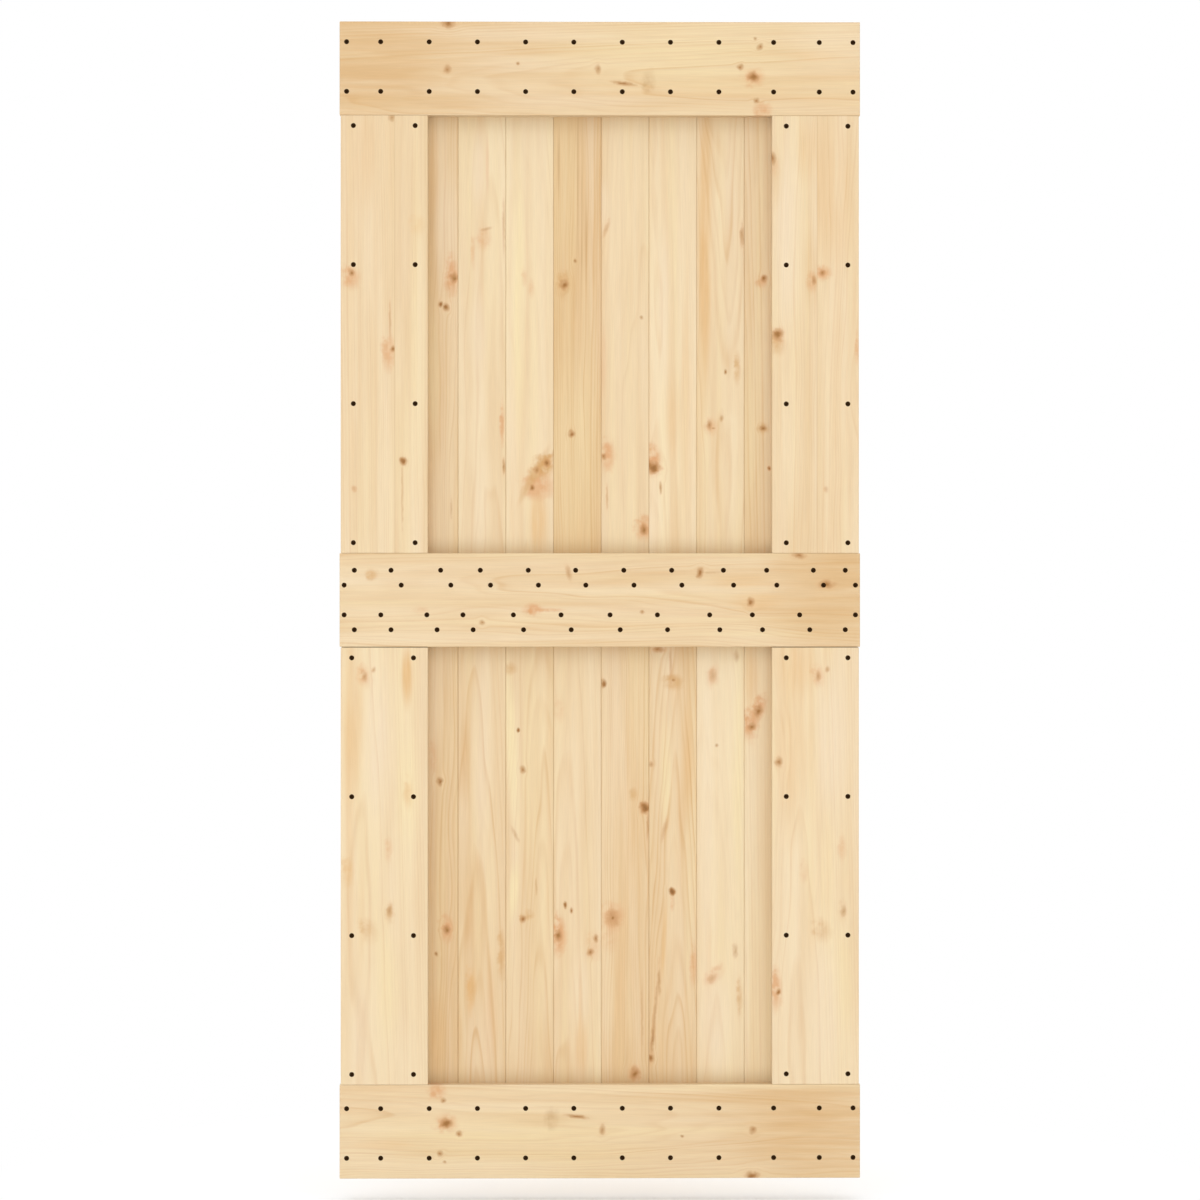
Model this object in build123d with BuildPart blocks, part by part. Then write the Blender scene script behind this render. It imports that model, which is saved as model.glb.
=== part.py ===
"""Sliding door leaf in solid pine: tongue-and-groove boards screwed behind a flat face frame.

Two fields of upright boards, one above the other, meet end to end behind the middle rail.
Three rails and four stile lengths lie on their front and are fixed by countersunk screws.

Millimetres. The origin is the middle of the top rail's front face, where the hanger straps bolt on.
+X is to the right seen from the front, +Y goes from the front to the back, and +Z is up.
"""

import os
from math import floor, radians, tan

from build123d import *

# Driving dimensions of the leaf
door_width = 945.0
door_height = 2100.0

# Face frame
frame_thickness = 24.0
rail_height = 170.0
stile_width = 158.0
frame_inset = 2.0  # boards and stiles stop this far short of the rail ends
stile_gap = 1.0  # open joint between the middle rail and each lower stile
frame_ease = 0.8  # the planed edges are taken off by this much

# Tongue-and-groove boards
board_thickness = 16.0
board_pitch = 87.0  # face of a whole board, seam to seam
least_edge_board = 30.0  # sets how many whole boards fit between the two ripped ones
seam_shift = 2.5  # the seams lie this far right of the leaf's middle
board_ease = 1.2  # the small V that shows along each seam
tongue_length = 6.0
tongue_thickness = 5.0
tongue_ease = 1.0
groove_side_clearance = 0.2
groove_end_clearance = 0.8

# Countersunk screw seats in the frame
screw_head_radius = 4.8
screw_head_angle = 90.0
screw_seat_floor = 0.4  # radius of the seat's floor, as a share of the head's
screw_seat_sides = 16  # few, because the seat repeats so often

# Screws of the top and bottom rails: a column in each board, off its middle by the fitter's stray
rail_screw_margin = 37.0  # from the leaf's top or bottom edge to the first row
rail_screw_rows = 90.0  # between the two rows
rail_end_screw = 12.7  # from the rail's end to the column in the ripped board
rail_screw_stray = (-9.0, -8.0, -7.5, -7.0, -6.5, -5.5, -5.0, -4.0, 8.5, 4.5)

# Screws of the middle rail: a slanting pair in each board end, off its middle by the fitter's stray
pair_centre = 40.5  # from the rail's middle line to the pair
pair_rise = 27.0
pair_slant = 18.5
pair_end_screw = 17.5  # from the rail's end to the pair in the ripped board
upper_pair_stray = (19.0, 22.0, 7.0, 7.0, 6.0, 6.5, 6.5, 13.5, 5.0, 3.0)
lower_pair_stray = (0.5, -3.0, -24.5, -20.0, -20.5, -18.5, -19.5, -11.5, -21.0, -22.0)

# Screws of the stiles
stile_screw_rows = 4
stile_screw_margin = 19.0  # from the stile's end to the first row
stile_screw_edge = 20.0  # from the stile's outer edge to the first column
stile_screw_gauge = 112.0  # between the two columns
upper_left_stray = 3.0  # both columns of this stile sit further in

# Places worked out from the driving dimensions
half_width = door_width / 2
half_field = half_width - frame_inset
half_rail = rail_height / 2
top = half_rail
bottom = top - door_height
middle = (top + bottom) / 2
board_middle = frame_thickness + board_thickness / 2
seat_taper = screw_head_angle / 2
seat_depth = screw_head_radius * (1 - screw_seat_floor) / tan(radians(seat_taper))

whole_boards = floor(2 * (half_field - least_edge_board) / board_pitch)
first_seam = seam_shift - whole_boards * board_pitch / 2
inner_seams = [first_seam + number * board_pitch for number in range(whole_boards + 1)]
seams = [-half_field, *inner_seams, half_field]
board_centres = [seam + board_pitch / 2 for seam in inner_seams[:-1]]

os.makedirs("parts", exist_ok=True)


def save(part, name):
    """Labels a finished piece and writes it as a file of its own."""
    part.label = name
    export_step(part, f"parts/{name}.step")


def make_board(name, number, foot, head):
    """A tongue-and-groove board between two seams. The outer boards have their outer edge ripped square."""
    left, right = seams[number], seams[number + 1]
    with BuildPart() as board:
        with BuildSketch(Plane.XY.offset(foot)) as profile:
            with Locations(((left + right) / 2, board_middle)):
                Rectangle(right - left, board_thickness)
            chamfer(profile.vertices(), board_ease)
            if number > 0:
                groove_depth = tongue_length + groove_end_clearance
                groove_width = tongue_thickness + 2 * groove_side_clearance
                with Locations((left, board_middle)):
                    Rectangle(groove_depth, groove_width, align=(Align.MIN, Align.CENTER), mode=Mode.SUBTRACT)
            if number <= whole_boards:
                with Locations((right, board_middle)):
                    Rectangle(tongue_length, tongue_thickness, align=(Align.MIN, Align.CENTER))
                chamfer(profile.vertices().group_by(Axis.X)[-1], tongue_ease)
        extrude(amount=head - foot)
    save(board.part, name)


def make_frame_board(name, left, right, foot, head, screws):
    """A planed board of the face frame with eased edges and a countersunk seat for each screw."""
    with BuildPart() as piece:
        with BuildSketch(Plane.XZ):
            with Locations(((left + right) / 2, (foot + head) / 2)):
                Rectangle(right - left, head - foot)
        extrude(amount=-frame_thickness)
        chamfer(piece.edges(), frame_ease)
        with BuildSketch(Plane.XZ):
            with Locations(*screws):
                RegularPolygon(screw_head_radius, screw_seat_sides)
        extrude(amount=-seat_depth, taper=seat_taper, mode=Mode.SUBTRACT)
    save(piece.part, name)


def outer_rail_screws(rows):
    """Two rows of screws with a column in every board."""
    columns = [rail_end_screw - half_width, half_width - rail_end_screw]
    for number, centre in enumerate(board_centres):
        columns.append(centre + rail_screw_stray[number % len(rail_screw_stray)])
    return [(column, row) for row in rows for column in columns]


def middle_rail_screws():
    """A slanting pair of screws in each board end, above and below the rail's middle line."""
    screws = []
    end = half_width - pair_end_screw
    for side, strays in ((1, upper_pair_stray), (-1, lower_pair_stray)):
        pairs = [(-end, -side), (end, side)]
        for number, centre in enumerate(board_centres):
            pairs.append((centre + strays[number % len(strays)], 1))
        for column, slant in pairs:
            for step in (-0.5, 0.5):
                height = middle + side * pair_centre - step * pair_rise
                screws.append((column + slant * step * pair_slant, height))
    return screws


def stile_screws(side, foot, head, stray):
    """Two columns of evenly spaced screws. The side is -1 for the left stile and 1 for the right one."""
    outer = half_field - stile_screw_edge - stray
    step = (head - foot - 2 * stile_screw_margin) / (stile_screw_rows - 1)
    rows = [foot + stile_screw_margin + number * step for number in range(stile_screw_rows)]
    return [(side * column, row) for column in (outer, outer - stile_screw_gauge) for row in rows]


# Boards of the upper and lower fields
for number in range(whole_boards + 2):
    make_board(f"upper_board_{number + 1:02}", number, middle, top)
    make_board(f"lower_board_{number + 1:02}", number, bottom, middle)

# Rails
top_rows = [top - rail_screw_margin, top - rail_screw_margin - rail_screw_rows]
bottom_rows = [bottom + rail_screw_margin, bottom + rail_screw_margin + rail_screw_rows]
rails = {
    "top_rail": (top - half_rail, outer_rail_screws(top_rows)),
    "middle_rail": (middle, middle_rail_screws()),
    "bottom_rail": (bottom + half_rail, outer_rail_screws(bottom_rows)),
}
for name, (centre, screws) in rails.items():
    make_frame_board(name, -half_width, half_width, centre - half_rail, centre + half_rail, screws)

# Stiles
upper_span = (middle + half_rail, top - rail_height)
lower_span = (bottom + rail_height, middle - half_rail - stile_gap)
for level, (foot, head) in (("upper", upper_span), ("lower", lower_span)):
    for hand, side in (("left", -1), ("right", 1)):
        name = f"{level}_{hand}_stile"
        left, right = sorted((side * half_field, side * (half_field - stile_width)))
        stray = upper_left_stray if name == "upper_left_stile" else 0.0
        make_frame_board(name, left, right, foot, head, stile_screws(side, foot, head, stray))
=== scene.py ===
"""Looks of a pine sliding door leaf: planed knotty boards and a face frame held by black screws.

The leaf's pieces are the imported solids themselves. Each gets a pine of its own, cut from a made-up log with
growth rings, knots and tone. The screw heads are laid into the seats that the solids leave for them.
"""

from math import radians
from typing import NamedTuple

import bmesh
import bpy
from mathutils import Euler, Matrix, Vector


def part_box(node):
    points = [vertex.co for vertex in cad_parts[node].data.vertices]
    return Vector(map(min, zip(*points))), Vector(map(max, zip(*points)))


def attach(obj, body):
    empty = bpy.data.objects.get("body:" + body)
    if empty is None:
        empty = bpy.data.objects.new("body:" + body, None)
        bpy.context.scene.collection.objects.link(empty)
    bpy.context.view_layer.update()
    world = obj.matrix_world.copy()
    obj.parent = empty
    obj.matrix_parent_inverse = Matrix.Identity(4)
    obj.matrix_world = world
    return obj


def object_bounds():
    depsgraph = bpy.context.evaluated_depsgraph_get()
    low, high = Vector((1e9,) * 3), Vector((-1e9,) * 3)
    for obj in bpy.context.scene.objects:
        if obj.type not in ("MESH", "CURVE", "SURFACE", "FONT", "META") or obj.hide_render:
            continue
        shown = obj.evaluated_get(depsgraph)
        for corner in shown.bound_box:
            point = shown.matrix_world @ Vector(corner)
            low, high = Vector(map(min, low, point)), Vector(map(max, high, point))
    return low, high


bl_info = {
    "name": "Pine sliding door leaf",
    "version": (1, 0, 0),
    "blender": (4, 5, 0),
    "location": "View3D > Sidebar > Door Leaf",
    "description": "Finishes a pine sliding door leaf and lights it in a plain studio",
    "category": "Object",
}

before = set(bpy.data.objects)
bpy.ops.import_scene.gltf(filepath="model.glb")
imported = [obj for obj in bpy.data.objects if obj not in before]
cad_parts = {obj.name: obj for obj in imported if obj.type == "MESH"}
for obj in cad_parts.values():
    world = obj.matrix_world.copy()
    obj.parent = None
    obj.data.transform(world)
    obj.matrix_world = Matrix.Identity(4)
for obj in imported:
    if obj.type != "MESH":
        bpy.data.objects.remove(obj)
cad_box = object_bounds()

MM = 0.001
LEAF_MIDDLE = (cad_box[0] + cad_box[1]) / 2
RAILS = ("top_rail", "middle_rail", "bottom_rail")
STILES = ("upper_left_stile", "upper_right_stile", "lower_left_stile", "lower_right_stile")
FRAME_PIECES = RAILS + STILES

# Sizes of the patterns in millimetres, for the pine across, into and along the grain
BAND_SIZE = (28.57, 33.33, 714.3)  # broad bands of tone
WANDER_SIZE = (71.43, 71.43, 500.0)  # bends of the log's pith
STREAK_SIZE = (13.33, 13.33, 200.0)  # drawn coarser than real streaks so that they show
FIBRE_SIZE = (0.7143, 0.7143, 40.0)  # bundles of fibres, because single ones are too fine to show
TEAR_SIZE = (12.5, 12.5, 12.5)  # nicks in the outlines of knots and stains
CRYSTAL_SIZE = 0.6  # of the phosphate, drawn coarser than real crystals so that they show

# Lengths in the pine in millimetres
PITH_SWING = 28.0  # how far the pith wanders
FIBRE_RELIEF = 0.15  # how far the fibres stand up after planing
SHORT_STAIN = 40.0  # stains with a smaller half length are ragged
PAINTED_SHADE_REACH = (20.0, 0.0, 36.0)  # how far the painted shade reaches into the boards' fronts beside the stiles and the rails
PAINTED_SHADE_DEPTH = 3.0  # how deep the painted shade goes
BLANK_SPACING = (37.0, 53.0, 211.0)  # from one piece's place in the patterns to the next one's
GLUE_JUMP = (23.0, 17.0, 431.0)  # from one glued strip's place in them to the next one's
ENDLESS = 1e6  # a mark goes right through its board

# Shares in the pine
BRANCH_SLANT = (0.15, 0.0, 0.35)  # how far a branch moves across and along for each millimetre of depth
RAGGEDNESS = (1.4, 0.0, -1.2)  # how far a full nick moves an outline, in half sizes of the mark
FAINT_KNOT = 0.3  # a knot no darker than this leaves the grain straight
GRAIN_SWERVE = 0.7  # how far a knot pushes the grain, in its radii
TONE_SPREAD = 0.22  # from a piece's tone to its palest and its deepest bands
LATEWOOD_RISE = ((0.55, 0.25), (0.82, 1.0))  # parts of the year and the latewood's strength then
PAINTED_SHADE_SHARE = (0.14, 0.0, 0.26)  # how strong the painted shade on the boards gets at the stiles and at the rails
END_GRAIN_LIGHT = 0.75  # what sawn ends give back, next to planed faces
FRAME_EDGE_SHADE_LEVEL = 0.86  # how light the frame's milled edges are painted, as painted shade along them
BOARD_EDGE_SHADE_LEVEL = 0.9  # how light the boards' milled edges are painted, as painted shade in the grooves between them
INNER_EDGE_SHADE_LEVEL = 0.92  # what is left of that on the frame's inner edges, as painted shade inside the recess

# Screws, in millimetres
SEAT_FLOORS = (1.5, 4.0)  # the floors of the seats lie between these depths
SEAT_REACH = 5.0  # corners that are closer than this belong to one seat
SHANK_SHARE = 0.45  # the shank's radius over the head's
HEAD_SIDES = 20
TURN_SEED = 7

# Studio, in metres
FLOOR_HALF = 40.0
SHADOW_REACH = (0.15, 1.2)  # the floor's shadow is whole, and gone, this far from the leaf's foot
SOFTBOX_SIZE = (4.0, 3.0)
SOFTBOX_PLACE = Vector((-0.8, -6.0, 1.6))  # from the leaf's middle
SENSOR_WIDTH = 36.0  # millimetres


class Knot(NamedTuple):
    """A branch cut through. Its place is in millimetres right of and above the leaf's middle."""

    right: float
    up: float
    radius: float
    dark: float = 0.5
    blush: float = 0.6
    stretch: float = 1.2  # its length along the grain over its width
    slant: float = 0.0  # degrees out of the grain


class Stain(NamedTuple):
    """A patch or band of other wood. Its place is given as a knot's is, its size by the grain."""

    right: float
    up: float
    half_width: float  # across the grain
    half_length: float  # along it
    tint: str  # one of the finish's colours
    share: float = 0.5
    slant: float = 0.0


class Cut(NamedTuple):
    """How a piece was sawn from its log."""

    tone: float  # 0 is pale sapwood and 1 honey-coloured heartwood
    pith: tuple  # where the log's middle lies from the piece's, across and behind, in millimetres
    lean: tuple = (0.0, 0.0)  # degrees that the log leans to the back and to the side
    grain: float = 0.5  # how strongly the latewood shows
    glued: float = None  # where a glue line runs between two strips, across from the middle
    knots: tuple = ()
    stains: tuple = ()


def moved(marks, right):
    """The same knots or stains further to the right."""
    return tuple(mark._replace(right=mark.right + right) for mark in marks)


def turned(marks):
    """The same knots or stains on a board turned end for end about the leaf's middle."""
    return tuple(mark._replace(right=-mark.right, up=-mark.up) for mark in marks)


TOP_RAIL_KNOTS = (
    Knot(-275, 1047, 8, 0.6, 0.4, 1.5),
    Knot(-277, 963, 7, 0.45, 0.3, 0.9),
    Knot(-149, 974, 3, 0.5, 0.1),
    Knot(-4, 963, 8, 0.4, 0.25, 0.7),
    Knot(42, 938, 3.5, 0.5, 0.2, 6.0, -8),
    Knot(279, 950, 9, 0.65, 0.6, 1.1),
    Knot(255, 968, 5, 0.5, 0.35),
    Knot(291, 1005, 6, 0.5, 0.15, 0.8, -30),
    Knot(282, 1020, 3, 0.4, 0.1),
    Knot(284, 908, 5, 0.5, 0.1, 1.0, 45),
)

TOP_RAIL_STAINS = (
    Stain(-400, 970, 85, 150, "heartwood", 0.8),
    Stain(88, 942, 17, 11, "knot", 0.5),
    Stain(279, 950, 15, 18, "blush", 0.85),
    Stain(296, 890, 14, 14, "blush", 0.75),
    Stain(400, 989, 9, 48, "amber", 0.85),
    Stain(150, 990, 60, 220, "straw", 0.5),
    Stain(435, 1012, 45, 80, "sapwood", 0.75),
    Stain(-330, 904, 16, 150, "heartwood", 0.7),
)

LOWER_STILE_KNOTS = (
    Knot(-428, -138, 5, 0.35, 0.4, 1.8, 10),
    Knot(-411, -126, 3.5, 0.3, 0.3, 1.4, -20),
    Knot(-382, -564, 5, 0.35, 0.15, 2.2),
)

LOWER_STILE_STAINS = (
    Stain(-428, -138, 11, 18, "blush", 0.55, 10),
    Stain(-384, -452, 7, 20, "blush", 0.35),
    Stain(-382, -566, 8, 19, "latewood", 0.5),
    Stain(-421, -601, 14, 20, "latewood", 0.65, 20),
    Stain(-405, -255, 24, 130, "bleached", 0.95),
    Stain(-393, -720, 26, 120, "straw", 0.7),
    Stain(-395, -850, 80, 85, "sapwood", 0.8),
)

CUTS = {
    "top_rail": Cut(0.52, (-20, 70), (1.5, 0.3), 0.85, knots=TOP_RAIL_KNOTS, stains=TOP_RAIL_STAINS),
    "middle_rail": Cut(
        0.42, (25, 90), (1.2, -0.3), 0.75,
        knots=(
            Knot(-57, 50, 14, 0.3, 0.2, 0.35, 15),
            Knot(-214, -41, 4.5, 0.45, 0.15),
            Knot(181, 49, 10, 0.62, 0.3, 0.6, -10),
            Knot(274, -3, 9, 0.58, 0.3, 0.7),
            Knot(362, 81, 5.5, 0.5, 0.4, 2.2),
            Knot(76, -22, 3.5, 0.45, 0.1),
            Knot(413, 29, 7, 0.55, 0.3, 1.9),
        ),
        stains=(
            Stain(-415, 46, 9, 10, "latewood", 0.65),
            Stain(-121, -16, 9, 14, "blush", 1.0),
            Stain(-94, -18, 3, 26, "blush", 0.6),
            Stain(-324, -19, 7, 12, "blush", 0.35),
            Stain(204, 50, 2, 18, "knot", 0.3),
            Stain(430, -10, 95, 110, "heartwood", 0.8),
            Stain(400, 66, 22, 90, "heartwood", 0.7),
            Stain(450, 55, 32, 45, "heartwood", 0.9),
            Stain(257, 34, 14, 50, "amber", 0.35),
            Stain(284, -4, 16, 42, "amber", 0.5),
            Stain(-380, -45, 25, 85, "sapwood", 0.5),
        ),
    ),
    "bottom_rail": Cut(
        0.38, (20, 75), (-1.5, -0.3), 0.8, knots=turned(TOP_RAIL_KNOTS),
        stains=(*turned(TOP_RAIL_STAINS), Stain(-240, -1034, 20, 170, "sapwood", 1.0)),
    ),
    "upper_left_stile": Cut(
        0.34, (-120, 30), (0.4, 0.3), 0.55, 19.0,
        knots=(
            Knot(-377, 875, 6, 0.4, 0.1),
            Knot(-451, 594, 5, 0.55, 0.5),
            Knot(-376, 456, 4.5, 0.6, 0.4),
            Knot(-381, 505, 2, 0.2, 0.3, 17.0),
            Knot(-357, 252, 6, 0.75, 0.4, 1.2),
            Knot(-359, 190, 2, 0.17, 0.25, 28.0),
            Knot(-446, 202, 4, 0.15, 0.4),
        ),
        stains=(
            Stain(-453, 585, 15, 18, "blush", 0.75, 20),
            Stain(-383, 447, 11, 29, "blush", 0.65),
            Stain(-331, 681, 13, 16, "amber", 0.4),
            Stain(-364, 445, 8, 80, "sapwood", 0.5),
            Stain(-432, 820, 26, 90, "amber", 0.3),
            Stain(-330, 480, 14, 250, "straw", 0.5),
        ),
    ),
    "upper_right_stile": Cut(
        0.36, (110, 40), (0.5, -0.4), 0.55, 3.0,
        knots=(
            Knot(314, 802, 6, 0.5, 0.2, 1.8),
            Knot(405, 594, 5, 0.5, 0.4),
            Knot(389, 580, 4, 0.4, 0.3, 2.0),
            Knot(324, 482, 9, 0.65, 0.7),
            Knot(411, 201, 4, 0.15, 0.4),
        ),
        stains=(
            Stain(318, 786, 9, 17, "blush", 0.45),
            Stain(406, 594, 13, 12, "blush", 0.8),
            Stain(386, 577, 9, 16, "blush", 0.65),
            Stain(323, 465, 13, 17, "latewood", 0.6),
            Stain(340, 670, 25, 180, "bleached", 0.9),
            Stain(425, 735, 32, 130, "amber", 0.4),
            Stain(378, 815, 18, 50, "amber", 0.35),
            Stain(467, 457, 4, 24, "blush", 0.6),
            Stain(346, 280, 18, 150, "sapwood", 0.7),
            Stain(388, 600, 16, 60, "heartwood", 0.4),
            Stain(320, 770, 8, 50, "heartwood", 0.4),
        ),
    ),
    "lower_left_stile": Cut(
        0.22, (-40, 60), (1.0, 0.4), 0.5,
        knots=LOWER_STILE_KNOTS,
        stains=(
            *LOWER_STILE_STAINS,
            Stain(-448, -215, 18, 136, "amber", 0.5),
            Stain(-459, -493, 11, 24, "amber", 0.5),
            Stain(-350, -138, 9, 47, "amber", 0.9),
            Stain(-346, -345, 18, 85, "straw", 0.6),
            Stain(-348, -350, 8, 25, "amber", 0.45),
            Stain(-420, -740, 22, 140, "sapwood", 0.95),
            Stain(-434, -790, 16, 90, "bleached", 0.8),
        ),
    ),
    "lower_right_stile": Cut(
        0.22, (-30, 65), (1.1, 0.3), 0.5,
        knots=(
            *moved(LOWER_STILE_KNOTS, 824),
            Knot(325, -294, 7, 0.5, 0.35),
            Knot(324, -712, 4, 0.7, 0.5, 1.8),
        ),
        stains=(
            *moved(LOWER_STILE_STAINS, 824),
            Stain(347, -263, 29, 145, "amber", 0.4),
            Stain(352, -115, 38, 55, "amber", 0.5),
            Stain(371, -494, 7, 18, "blush", 0.3),
            Stain(320, -708, 9, 34, "blush", 0.75),
            Stain(408, -740, 26, 130, "bleached", 0.85),
            Stain(446, -575, 12, 42, "sapwood", 0.6),
        ),
    ),
    "upper_board_01": Cut(0.4, (60, 40)),
    "upper_board_02": Cut(
        0.3, (-20, 50), (1.0, 0.0), knots=(Knot(-395, 420, 10), Knot(-372, -30, 7, 0.7))
    ),
    "upper_board_03": Cut(
        0.54, (70, 30), (0.3, 0.2), 0.6,
        knots=(
            Knot(-266, 587, 7, 0.55, 0.5, 1.3),
            Knot(-290, 539, 4.5, 0.75, 0.3),
            Knot(-280, 533, 5.5, 0.65, 0.4),
            Knot(-271, 168, 2, 0.18, 0.2, 9.0),
        ),
        stains=(
            Stain(-271, 590, 11, 33, "blush", 0.95),
            Stain(-302, 790, 9, 90, "amber", 0.35),
            Stain(-302, 410, 10, 120, "straw", 0.45),
            Stain(-281, 682, 16, 85, "bleached", 0.5),
        ),
    ),
    "upper_board_04": Cut(
        0.22, (15, 60), (1.6, 0.2), 0.4,
        knots=(
            Knot(-208, 676, 10, 0.22, 0.2, 0.3, 15),
            Knot(-175, 681, 2.5, 0.2, 0.25, 18.0),
            Knot(-175, 243, 2.5, 0.45, 0.3, 5.0),
        ),
        stains=(
            Stain(-221, 786, 13, 60, "bleached", 0.8),
            Stain(-205, 795, 3, 45, "blush", 0.4),
            Stain(-212, 660, 12, 19, "blush", 0.5),
            Stain(-231, 635, 4, 26, "blush", 0.4),
            Stain(-178, 322, 4, 35, "blush", 0.8),
            Stain(-225, 300, 12, 70, "sapwood", 0.7),
            Stain(-223, 485, 14, 60, "bleached", 0.6),
        ),
    ),
    "upper_board_05": Cut(
        0.16, (-10, 80), (1.0, 0.4), 0.3,
        knots=(
            Knot(-96, 249, 5, 0.65, 0.5),
            Knot(-116, 238, 5, 0.45, 0.4),
            Knot(-124, 205, 4.5, 0.65, 0.5),
        ),
        stains=(
            Stain(-148, 560, 11, 250, "straw", 0.8),
            Stain(-138, 588, 5, 14, "blush", 0.35),
            Stain(-125, 568, 5, 14, "blush", 0.35),
            Stain(-112, 140, 14, 62, "amber", 0.8),
            Stain(-105, 240, 16, 28, "latewood", 1.0, -45),
            Stain(-110, 207, 26, 22, "blush", 0.75),
            Stain(-125, 204, 13, 17, "blush", 0.6),
            Stain(-120, 228, 7, 45, "latewood", 0.75, -28),
        ),
    ),
    "upper_board_06": Cut(
        0.95, (85, 25), (0.3, 0.1), 0.95,
        knots=(
            Knot(-65, 575, 7, 0.65, 0.3, 1.3),
            Knot(-45, 618, 3, 0.5, 0.2),
            Knot(-52, 303, 5.5, 0.65, 0.3),
        ),
        stains=(
            Stain(-65, 575, 12, 23, "latewood", 0.6),
            Stain(-50, 240, 45, 200, "straw", 0.45),
            Stain(-14, 370, 10, 190, "straw", 0.2),
            Stain(-40, 760, 1.6, 110, "knot", 0.45),
            Stain(-33, 690, 1.6, 120, "knot", 0.4),
            Stain(-25, 640, 1.6, 80, "knot", 0.35),
            Stain(-75, 790, 2, 60, "knot", 0.35),
        ),
    ),
    "upper_board_07": Cut(
        0.34, (25, 70), (1.2, -0.2), 0.35,
        knots=(
            Knot(7, 262, 4.5, 0.5, 0.3),
            Knot(76, 515, 3, 0.4, 0.1),
            Knot(80, 128, 7, 0.6, 0.5),
            Knot(12, 678, 3.5, 0.2, 0.35, 4.0, -20),
            Knot(13, 188, 2, 0.2, 0.3, 10.0),
        ),
        stains=(
            Stain(15, 264, 11, 28, "blush", 0.8),
            Stain(80, 130, 15, 18, "blush", 0.8),
            Stain(84, 148, 8, 8, "blush", 0.45),
            Stain(6, 715, 12, 42, "bleached", 0.5),
            Stain(6, 435, 5, 55, "blush", 0.4),
        ),
    ),
    "upper_board_08": Cut(
        0.18, (-40, 50), (0.8, 0.3), 0.35,
        knots=(Knot(98, 241, 10.5, 0.75, 0.7, 1.1), Knot(111, 204, 2.5, 0.4, 0.3, 4.0)),
        stains=(
            Stain(99, 257, 11, 20, "blush", 0.95),
            Stain(117, 545, 9, 130, "bleached", 0.7),
            Stain(102, 163, 9, 70, "bleached", 0.3),
            Stain(134, 327, 12, 68, "amber", 0.3),
        ),
    ),
    "upper_board_09": Cut(
        0.3, (5, 55), (-1.5, 0.2), 0.65,
        knots=(
            Knot(200, 319, 4.5, 0.45, 0.4, 2.0, 10),
            Knot(207, 313, 3.5, 0.35, 0.3, 0.5),
            Knot(222, 331, 3.5, 0.35, 0.2, 1.8),
            Knot(229, 416, 3, 0.6, 0.1, 1.5),
            Knot(260, 662, 4, 0.35, 0.3, 5.0),
        ),
        stains=(
            Stain(192, 672, 10, 250, "amber", 0.9),
            Stain(204, 317, 12, 15, "blush", 0.4),
            Stain(240, 305, 16, 32, "sapwood", 0.7),
            Stain(250, 423, 6, 24, "latewood", 0.6),
            Stain(235, 760, 14, 100, "bleached", 0.4),
            Stain(238, 240, 15, 95, "sapwood", 0.75),
            Stain(205, 825, 18, 70, "heartwood", 0.5),
        ),
    ),
    "upper_board_10": Cut(
        0.52, (-60, 45), (0.6, 0.2), 0.7,
        knots=(
            Knot(300, 586, 5.5, 0.6, 0.4),
            Knot(298, 313, 5.5, 0.6, 0.2, 0.8),
            Knot(309, 240, 3, 0.6),
        ),
        stains=(
            Stain(272, 310, 10, 160, "straw", 0.45),
            Stain(294, 581, 10, 11, "blush", 0.65),
            Stain(298, 313, 10, 9, "latewood", 0.5),
        ),
    ),
    "upper_board_11": Cut(
        0.3, (30, 60), (1.2, 0.2), knots=(Knot(380, 700, 9), Knot(405, 150, 11, 0.6, 0.8))
    ),
    "upper_board_12": Cut(0.45, (-70, 30)),
    "lower_board_01": Cut(0.4, (-50, 50)),
    "lower_board_02": Cut(
        0.3, (25, 55), (-1.0, 0.1), knots=(Knot(-400, -280, 9), Knot(-380, -800, 8, 0.7))
    ),
    "lower_board_03": Cut(
        0.66, (60, 35), (0.4, 0.1), 0.75,
        knots=(
            Knot(-291, -331, 6, 0.6, 0.25),
            Knot(-279, -601, 6.5, 0.55, 0.6, 1.2),
            Knot(-298, -645, 3, 0.55, 0.2),
        ),
        stains=(
            Stain(-279, -600, 11, 21, "blush", 0.85),
            Stain(-304, -286, 7, 28, "blush", 0.35),
            Stain(-297, -800, 13, 75, "amber", 0.5),
        ),
    ),
    "lower_board_04": Cut(
        0.5, (-15, 60), (1.4, 0.2), 0.8,
        stains=(
            Stain(-246, -290, 9, 70, "latewood", 0.45),
            Stain(-217, -282, 15, 210, "bleached", 0.7),
            Stain(-235, -712, 8, 39, "amber", 1.0),
            Stain(-179, -649, 7, 38, "latewood", 0.6),
            Stain(-225, -815, 25, 80, "bleached", 0.4),
            Stain(-200, -780, 10, 90, "blush", 0.2),
        ),
    ),
    "lower_board_05": Cut(
        0.38, (20, 50), (1.5, -0.3), 0.6,
        knots=(
            Knot(-149, -237, 3.5, 0.85, 0.1),
            Knot(-141, -309, 5.5, 0.5, 0.2),
            Knot(-154, -428, 3.5, 0.22, 0.15, 4.0, 25),
            Knot(-140, -582, 5.5, 0.6, 0.35),
            Knot(-116, -522, 2, 0.2, 0.2, 7.0),
        ),
        stains=(
            Stain(-160, -275, 10, 135, "straw", 1.0, 3),
            Stain(-157, -530, 8, 48, "straw", 0.9, -4),
            Stain(-164, -125, 11, 10, "latewood", 0.55),
            Stain(-115, -300, 26, 180, "straw", 0.3),
            Stain(-132, -575, 11, 9, "latewood", 0.6),
            Stain(-110, -855, 30, 80, "heartwood", 0.3),
        ),
    ),
    "lower_board_06": Cut(
        0.38, (-25, 60), (1.0, 0.3), 0.55,
        knots=(
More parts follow.
